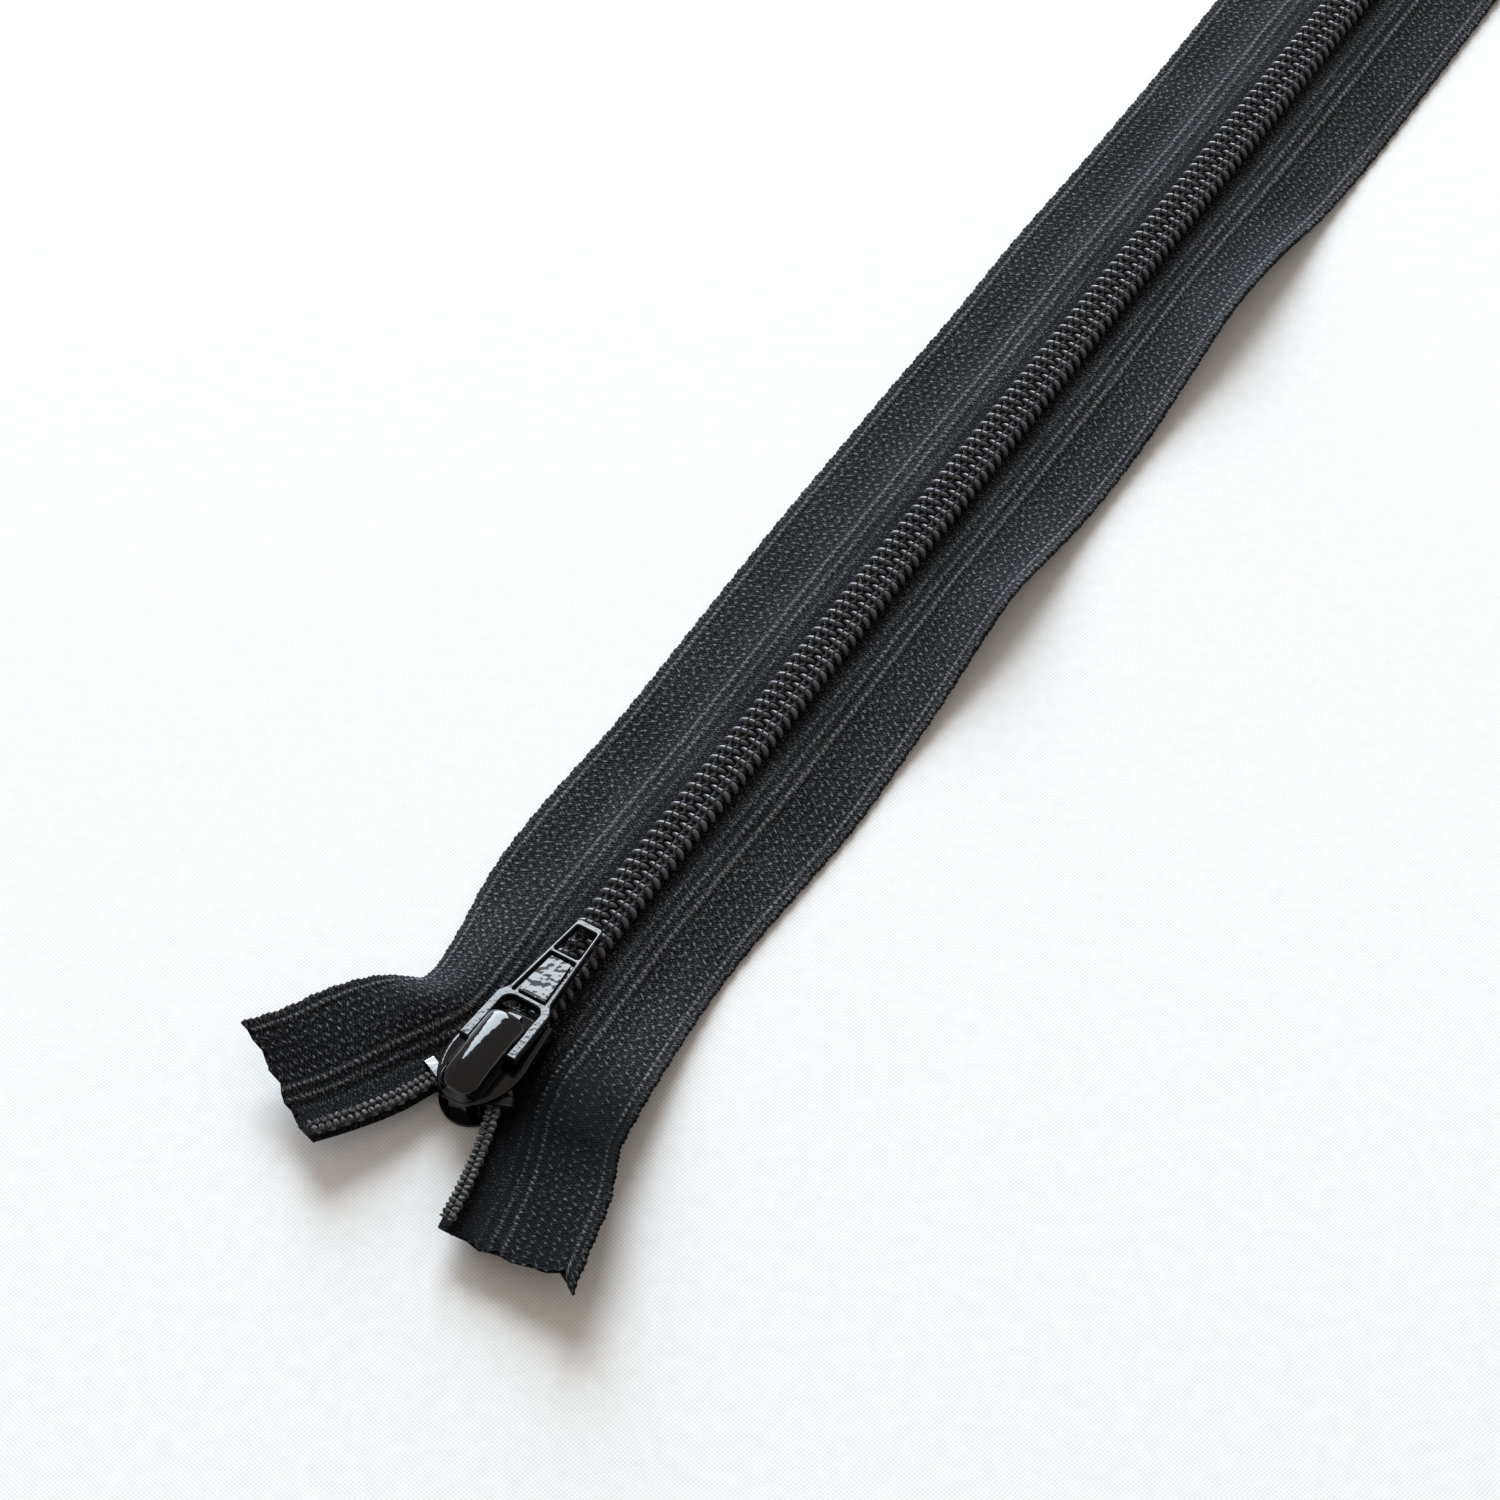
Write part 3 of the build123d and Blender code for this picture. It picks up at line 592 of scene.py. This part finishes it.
def fabric_material(name, dark, highlight, yarn, zigzag=False, shade=0.1, fold_shade=0.0):
    """Woven polyester in millimetres of the UV map, with painted highlights: raised yarns are
    coloured lighter in small dashes, flecks and rib dots, standing in for the light they catch.

    yarn is the noise's scale, and the last two are how much painted shade darkens the flap and its
    bend.
    """
    material, nodes, links, shader = new_material(name)
    uv = nodes.new("ShaderNodeUVMap")
    uv.uv_map = "millimetres"
    vector = uv.outputs["UV"]
    painted_highlight = nodes.new("ShaderNodeAttribute")
    painted_highlight.attribute_name = "painted_highlight"
    sums = Sums(nodes, links)
    fine = noise(nodes, links, vector, yarn, 2.5, (1.0, 1.5, 1.0))
    broad = noise(nodes, links, vector, 0.3, 3.0, (1.0, 0.4, 1.0))
    split = nodes.new("ShaderNodeSeparateXYZ")
    links.new(vector, split.inputs["Vector"])
    u, v = split.outputs["X"], split.outputs["Y"]
    slip = sums("MULTIPLY", broad, 9.0)
    across = sums("SINE", sums("MULTIPLY_ADD", u, 4 * math.pi / ZIGZAG_STEP, slip))
    along = sums("SINE", sums("MULTIPLY_ADD", v, 8 * math.pi / PITCH, slip))
    cross = sums("MULTIPLY", across, along)
    level = painted_highlight.outputs["Fac"]
    if zigzag:
        slant = sums("MULTIPLY_ADD", u, math.pi / ZIGZAG_STEP, slip)
        dash = sums("SINE", sums("MULTIPLY_ADD", v, 4 * math.pi / PITCH, slant))
        dash = sums("MULTIPLY_ADD", dash, 0.6, 0.4, clamp=True)
        place = sums("ROUND", sums("DIVIDE", sums("SUBTRACT", u, ZIGZAG_U), ZIGZAG_STEP))
        off = sums("SUBTRACT", u, sums("MULTIPLY_ADD", place, ZIGZAG_STEP, ZIGZAG_U))
        shifted = sums("MULTIPLY_ADD", sums("PINGPONG", place, 1.0), PITCH / 4, v)
        swing = sums("PINGPONG", sums("MULTIPLY", shifted, 2 / PITCH), 1.0)
        line = sums("MULTIPLY_ADD", swing, -2 * ZIGZAG_SWING, ZIGZAG_SWING)
        apart = sums("ABSOLUTE", sums("SUBTRACT", off, line))
        thread = sums("SUBTRACT", 1.15, sums("DIVIDE", apart, 0.23), clamp=True)
        band_middle = ZIGZAG_U + (ZIGZAG_LINES - 1) / 2 * ZIGZAG_STEP
        in_band = sums("COMPARE", u, band_middle, ZIGZAG_LINES / 2 * ZIGZAG_STEP)
        thread = sums("MULTIPLY", thread, in_band)
        rib_dash = sums("MULTIPLY_ADD", dash, 0.65, 0.35)
        thread_dash = sums("MULTIPLY_ADD", dash, 0.95, 0.05)
        ribs = sums("MULTIPLY", sums("MULTIPLY", level, 1.5), rib_dash)
        thread = sums("MULTIPLY", thread, thread_dash)
        level = sums("ADD", ribs, thread)
    # Painted highlights: the ribs, zigzag dashes and crossing weave lighten the colour where yarn
    # catches light, and fine noise adds lit flecks.
    level = sums("MULTIPLY_ADD", cross, 0.16, sums("MULTIPLY", level, 0.62))
    flecks = sums("MULTIPLY_ADD", fine, 2.5, sums("MULTIPLY_ADD", broad, 0.3, -1.3))
    # Painted shade: the colour darkens along the flap.
    flap = sums("MULTIPLY", sums("SUBTRACT", SHADE_Y, v), 0.15, clamp=True)
    flecks = sums("MULTIPLY_ADD", flap, -shade, flecks)
    if fold_shade:
        # Painted shade round the right tape's bend.
        fold_shade_mask = sums("DIVIDE", sums("ABSOLUTE", sums("SUBTRACT", v, FOLD_Y)), FOLD_HALF)
        fold_shade_mask = sums("SUBTRACT", 1.0, fold_shade_mask, clamp=True)
        flecks = sums("MULTIPLY_ADD", fold_shade_mask, -fold_shade, flecks)
    middle_tone = tuple(d + 0.16 * (b - d) for d, b in zip(dark, highlight))
    stops = ((0.0, dark), (0.4, middle_tone), (1.0, highlight))
    colour = ramp(nodes, links, sums("ADD", level, flecks), stops)
    links.new(colour, shader.inputs["Base Color"])
    roughness = ramp(nodes, links, fine, ((0.3, 0.6), (0.7, 0.8)))
    links.new(roughness, shader.inputs["Roughness"])
    skin = sums("MULTIPLY_ADD", cross, 0.25, fine)
    links.new(bump(nodes, links, skin, 0.07, 0.9), shader.inputs["Normal"])
    shader.inputs["Specular IOR Level"].default_value = 0.025
    return material


def gloss_material(name, base, rough, peel, scale):
    """Gloss enamel or polished metal with an orange-peel skin and worn, rougher patches."""
    material, nodes, links, shader = new_material(name)
    vector = nodes.new("ShaderNodeTexCoord").outputs["Object"]
    skin = noise(nodes, links, vector, scale, 1.5)
    patches = noise(nodes, links, vector, scale * 0.25, 4.0)
    dark = tuple(c * 0.75 for c in base)
    colour = ramp(nodes, links, patches, ((0.35, dark), (0.65, base)))
    roughness = ramp(nodes, links, patches, ((0.3, rough * 0.7), (0.75, rough * 1.4)))
    links.new(colour, shader.inputs["Base Color"])
    links.new(roughness, shader.inputs["Roughness"])
    links.new(bump(nodes, links, skin, peel), shader.inputs["Normal"])
    return material, shader


def hammer(material, shader, centre, half, scale, depth):
    """Adds hammered dimples inside a box: half[0] each side of x = 0 and half[1] of y = centre."""
    nodes, links = material.node_tree.nodes, material.node_tree.links
    sums = Sums(nodes, links)
    vector = nodes.new("ShaderNodeTexCoord").outputs["Object"]
    split = nodes.new("ShaderNodeSeparateXYZ")
    links.new(vector, split.inputs["Vector"])
    inside = sums(
        "MULTIPLY",
        sums("COMPARE", split.outputs["X"], 0.0, half[0] * MM),
        sums("COMPARE", split.outputs["Y"], centre * MM, half[1] * MM),
    )
    dimples = sums("MULTIPLY", noise(nodes, links, vector, scale, 1.0), inside)
    skin = shader.inputs["Normal"].links[0].from_socket
    links.new(bump(nodes, links, dimples, depth, 1.0, skin), shader.inputs["Normal"])


# The tape's lighter colour is the colour of its painted highlights.
TAPE_DARK, TAPE_HIGHLIGHT = (0.005, 0.005, 0.006), (0.2, 0.202, 0.218)
ENAMEL, MONOFILAMENT = (0.002, 0.002, 0.005), (0.075, 0.078, 0.09)
# The two strip colours are a painted highlight (bright metal) and a painted shade (dark enamel) on
# the top stops.
STEEL, LIT_STRIP_METAL, SHADED_STRIP_ENAMEL = (0.5, 0.5, 0.52), (0.34, 0.35, 0.37), (0.005, 0.005, 0.006)
PLAQUE_Y, PLAQUE_HALF = -92.32, (1.37, 2.36)
# The two tapes' materials differ only in how much painted shade they carry.
tape_materials = {
    hand: fabric_material(f"black_woven_tape_{hand}", TAPE_DARK, TAPE_HIGHLIGHT, 3.4, True, shade, fold_shade)
    for hand, shade, fold_shade in (("left", 0.1, 0.0), ("right", 0.22, 0.4))
}
# The lighter colours of the thread and the cord are painted highlights too.
thread_material = fabric_material("black_thread", (0.006, 0.006, 0.007), (0.19, 0.192, 0.2), 5.0)
cord_material = fabric_material("black_core_cord", (0.025, 0.025, 0.029), (0.11, 0.11, 0.122), 4.0)
coil_material, coil_shader = gloss_material("black_monofilament", MONOFILAMENT, 0.38, 0.01, 3000.0)
coil_shader.inputs["Specular IOR Level"].default_value = 0.48
paint_material, paint_shader = gloss_material("gloss_black_enamel", ENAMEL, 0.06, 0.026, 1000.0)
tab_material, tab_shader = gloss_material("peeled_black_enamel", ENAMEL, 0.08, 0.017, 2100.0)
hammer(tab_material, tab_shader, PLAQUE_Y, PLAQUE_HALF, 1200.0, 0.17)
for shader in (paint_shader, tab_shader):
    shader.inputs["Specular IOR Level"].default_value = 0.42
    shader.inputs["Coat Weight"].default_value = 0.15
    shader.inputs["Coat Roughness"].default_value = 0.03
spring_material, spring_shader = gloss_material("spring_steel", STEEL, 0.25, 0.01, 2500.0)
# Painted highlight and painted shade: the top stops are alike, but the left one (and the bottom
# stop) is bright bare metal standing in for a reflection, and the right one is dark enamel standing
# in for shade.
lit_stop_material, lit_stop_shader = gloss_material("lit_bright_strip", LIT_STRIP_METAL, 0.26, 0.03, 1500.0)
for shader in (spring_shader, lit_stop_shader):
    shader.inputs["Metallic"].default_value = 1.0
shaded_stop_material, shaded_stop_shader = gloss_material("shaded_enamelled_strip", SHADED_STRIP_ENAMEL, 0.45, 0.02, 1500.0)
shaded_stop_shader.inputs["Specular IOR Level"].default_value = 0.1


def paint(piece, material):
    """Gives a piece this one material."""
    piece.data.materials.clear()
    piece.data.materials.append(material)


for node, material in (
    ("slider_body", paint_material),
    ("pull_tab", tab_material),
    ("lock_spring", spring_material),
    ("bottom_stop", lit_stop_material),
    # Painted highlight on the left top stop, painted shade on the right one.
    ("top_stop_left", lit_stop_material),
    ("top_stop_right", shaded_stop_material),
):
    paint(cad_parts[node], material)

crown = make_crown()
paint(crown, paint_material)
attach(crown, "slider")
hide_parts("slider_crown")

# ---------------------------------------------------------------- build the soft pieces
for side, hand in SIDES:
    tape = make_tape(side, hand)
    coil = make_coil(side, hand)
    core = make_core(side, hand)
    inner = make_stitches(side, hand, "needle_stitches_inner", THREAD_ROWS[0])
    outer = make_stitches(side, hand, "needle_stitches_outer", THREAD_ROWS[1])
    looper = make_looper(side, hand)
    parts = (
        (tape, f"tape_{hand}", "tape", tape_materials[hand]),
        (coil, f"coil_{hand}", "coil", coil_material),
        (core, f"core_cord_{hand}", "cord", cord_material),
        (inner, f"needle_thread_inner_{hand}", "thread", thread_material),
        (outer, f"needle_thread_outer_{hand}", "thread", thread_material),
        (looper, f"looper_thread_{hand}", "thread", thread_material),
    )
    for piece, node, slot, material in parts:
        paint(piece, material)
        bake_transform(piece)
        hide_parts(node)

# ---------------------------------------------------------------- floor, light and camera
FLOOR_HALF, FLOOR_POINTS = 5000, 3
LINEN_SPACING, LINEN_ANGLE = 0.42, -math.radians(31.7)


def make_floor():
    """A plain pale table covered with fine linen."""
    xs = np.linspace(-FLOOR_HALF, FLOOR_HALF, FLOOR_POINTS)
    grid = np.array([(x, y, 0.0) for y in xs for x in xs])
    piece = add_mesh("floor", grid, strip(FLOOR_POINTS, FLOOR_POINTS, closed=False))
    material, nodes, links, shader = new_material("pale_table")
    where = nodes.new("ShaderNodeTexCoord")
    sums = Sums(nodes, links)
    turned = nodes.new("ShaderNodeMapping")
    turned.inputs["Rotation"].default_value[2] = LINEN_ANGLE
    turned.inputs["Scale"].default_value = [2 * math.pi / (LINEN_SPACING * MM)] * 3
    links.new(where.outputs["Object"], turned.inputs["Vector"])
    split = nodes.new("ShaderNodeSeparateXYZ")
    links.new(turned.outputs["Vector"], split.inputs["Vector"])
    weave = sums("MULTIPLY", sums("SINE", split.outputs["X"]), sums("SINE", split.outputs["Y"]))
    slub = noise(nodes, links, where.outputs["Object"], 700.0, 2.0)
    level = sums("ADD", sums("MULTIPLY_ADD", weave, 0.42, 0.25), sums("MULTIPLY", slub, 0.5))
    colour = ramp(nodes, links, level, ((0.0, (0.74, 0.74, 0.74)), (1.0, (0.98, 0.98, 0.98))))
    links.new(colour, shader.inputs["Base Color"])
    shader.inputs["Roughness"].default_value = 0.9
    shader.inputs["Specular IOR Level"].default_value = 0.1
    paint(piece, material)
    return piece


make_floor()


LIGHT_TARGET = Vector((0.0, -0.06, 0.0))
WINDOW_COLOUR, ROOM_COLOUR, ROOM_STRENGTH = (0.84, 0.93, 1.0), (1.0, 0.9, 0.8, 1.0), 0.43


def add_light(name, azimuth, elevation, distance, size, size_y, power, colour):
    """A soft area light at a direction from the slider's end of the chain, turned to face it."""
    lamp = bpy.data.lights.new(name, "AREA")
    lamp.shape = "RECTANGLE"
    lamp.size, lamp.size_y = size, size_y
    lamp.energy = power
    lamp.color = colour
    piece = bpy.data.objects.new(name, lamp)
    a, e = math.radians(azimuth), math.radians(elevation)
    towards = Vector((math.cos(a) * math.cos(e), math.sin(a) * math.cos(e), math.sin(e)))
    piece.location = LIGHT_TARGET + towards * distance
    piece.rotation_euler = (-towards).to_track_quat("-Z", "Y").to_euler()
    bpy.context.scene.collection.objects.link(piece)


add_light("window", 130, 25, 1.6, 1.0, 1.45, 60, WINDOW_COLOUR)

world = bpy.data.worlds.new("studio")
bpy.context.scene.world = world
world.use_nodes = True
background = world.node_tree.nodes["Background"]
background.inputs["Color"].default_value = ROOM_COLOUR
background.inputs["Strength"].default_value = ROOM_STRENGTH
bpy.context.scene.view_settings.view_transform = "Standard"

# Where the photo was taken from: a place in metres, and the way the camera faces.
CAMERA_PLACE = (0.1344, -0.2772, 0.3149)
AZIMUTH, ELEVATION, ROLL = math.radians(31.67), math.radians(50.816), math.radians(0.331)
camera_data = bpy.data.cameras.new("camera")
camera_data.lens = 108.0
camera_data.sensor_width = 36.0
camera_data.clip_start = 0.01
camera = bpy.data.objects.new("camera", camera_data)
bpy.context.scene.collection.objects.link(camera)
ahead = math.cos(ELEVATION)
forward = Vector((-math.sin(AZIMUTH) * ahead, math.cos(AZIMUTH) * ahead, -math.sin(ELEVATION)))
facing = forward.to_track_quat("-Z", "Y").to_matrix() @ Matrix.Rotation(ROLL, 3, "Z")
camera.matrix_world = Matrix.Translation(CAMERA_PLACE) @ facing.to_4x4()
bpy.context.scene.camera = camera
